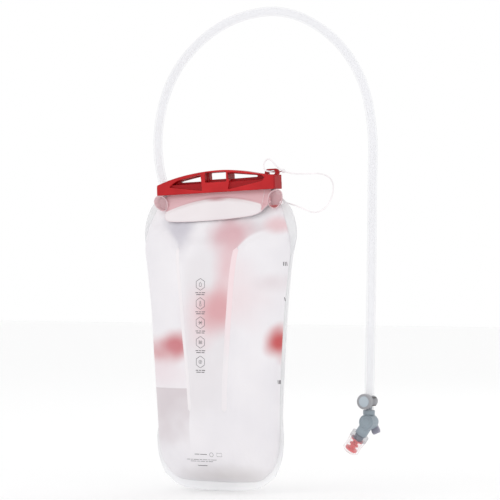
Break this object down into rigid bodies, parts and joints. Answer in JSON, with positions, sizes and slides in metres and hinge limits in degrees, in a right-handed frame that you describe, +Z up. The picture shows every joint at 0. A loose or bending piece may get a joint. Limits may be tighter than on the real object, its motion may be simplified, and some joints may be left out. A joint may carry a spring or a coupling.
{
  "type": "hydration bladder",
  "caption": "Soft slide-top drinking reservoir with a slider handle, tethered slider, quick-connect drink tube, magnetic tube clip and angled bite valve.",
  "frame": {"origin": "middle of the hang window in the slider handle, from which the full reservoir hangs", "axes": "+Z up, +Y to the back (port side), +X to the right seen from the front"},
  "size_m": [0.2524, 0.0904, 0.4838],
  "materials": {
    "film": "frosted translucent film with a soft gloss",
    "baffle_film": "clear film",
    "red_plastic": "moulded, satin gloss",
    "red_core": "moulded, satin",
    "white_plastic": "moulded, satin",
    "grey_plastic": "moulded, fine satin texture",
    "pale_grey_plastic": "moulded, satin",
    "tube_clear": "clear extruded tube, gloss",
    "silicone_clear": "clear silicone, soft gloss",
    "o_ring_rubber": "black rubber",
    "spring_steel": "bright drawn wire",
    "magnet_steel": "nickel plated",
    "tether_cord": "round braided cord"
  },
  "bodies": {
    "reservoir": {"front_panel": "film", "back_panel": "film", "baffle_left": "baffle_film", "baffle_right": "baffle_film", "lip_rail_front": "white_plastic", "lip_rail_back": "white_plastic", "tether_anchor": "tether_cord", "port_base": "white_plastic", "port_collar": "grey_plastic", "poppet_retainer": "white_plastic", "poppet_spring": "spring_steel", "latch_spring": "spring_steel"},
    "slider": {"slider_handle": "red_plastic", "tether_cord": "tether_cord", "tether_knot": "tether_cord"},
    "button": {"release_button": "red_plastic"},
    "poppet": {"shutoff_poppet": "white_plastic"},
    "plug_seal": {"plug_o_ring": "o_ring_rubber"},
    "drink_line": {"plug_elbow": "grey_plastic", "drink_tube": "tube_clear", "valve_inlet": "grey_plastic", "inlet_o_ring": "o_ring_rubber"},
    "clip_sleeve": {"clip_liner": "o_ring_rubber"},
    "clip": {"clip_ring": "grey_plastic", "clip_housing": "grey_plastic", "clip_magnet": "magnet_steel", "clip_face": "pale_grey_plastic"},
    "valve": {"valve_housing": "grey_plastic", "valve_cap": "pale_grey_plastic", "neck_ring": "silicone_clear", "bite_core": "red_core", "bite_sheath": "silicone_clear"},
    "shutoff": {"shutoff_spool": "white_plastic", "spool_o_rings": "o_ring_rubber", "shutoff_lever": "grey_plastic"}
  },
  "joints": [
    {"name": "slider_slide", "type": "slide", "parent": "reservoir", "child": "slider", "axis": [0.999, 0, 0.0454], "range_m": [0, 0.135]},
    {"name": "button_press", "type": "slide", "parent": "reservoir", "child": "button", "axis": [-1, 0, 0], "range_m": [0, 0.002], "stiffness_N_per_m": 600, "deforming": ["latch_spring"]},
    {"name": "plug_pull", "type": "slide", "parent": "reservoir", "child": "plug_seal", "axis": [0, 1, 0], "range_m": [0, 0.016], "deforming": ["latch_spring", "poppet_spring"]},
    {"name": "poppet_slide", "type": "slide", "parent": "reservoir", "child": "poppet", "axis": [0, 1, 0], "range_m": [0, 0.0035], "deforming": ["poppet_spring"]},
    {"name": "plug_swivel", "type": "hinge", "parent": "plug_seal", "child": "drink_line", "pos_m": [0, 0.055, -0.229], "axis": [0, 1, 0], "range_deg": [-20, 20]},
    {"name": "clip_slide", "type": "slide", "parent": "drink_line", "child": "clip_sleeve", "axis": [0.025, 0, 0.9997], "range_m": [-0.003, 0.045]},
    {"name": "clip_turn", "type": "hinge", "parent": "clip_sleeve", "child": "clip", "pos_m": [0.15588, 0.02, -0.2224], "axis": [0.025, 0, 0.9997], "continuous": true},
    {"name": "valve_turn", "type": "hinge", "parent": "drink_line", "child": "valve", "pos_m": [0.1556, 0.02, -0.2334], "axis": [0.025, 0, 0.9997], "range_deg": [-180, 180]},
    {"name": "shutoff_turn", "type": "hinge", "parent": "valve", "child": "shutoff", "pos_m": [0.15537, 0.02, -0.2428], "axis": [0, 1, 0], "range_deg": [-90, 0]}
  ],
  "couplings": [
    {"joint": "poppet_slide", "follows": "plug_pull", "ratio": 0.21875}
  ]
}
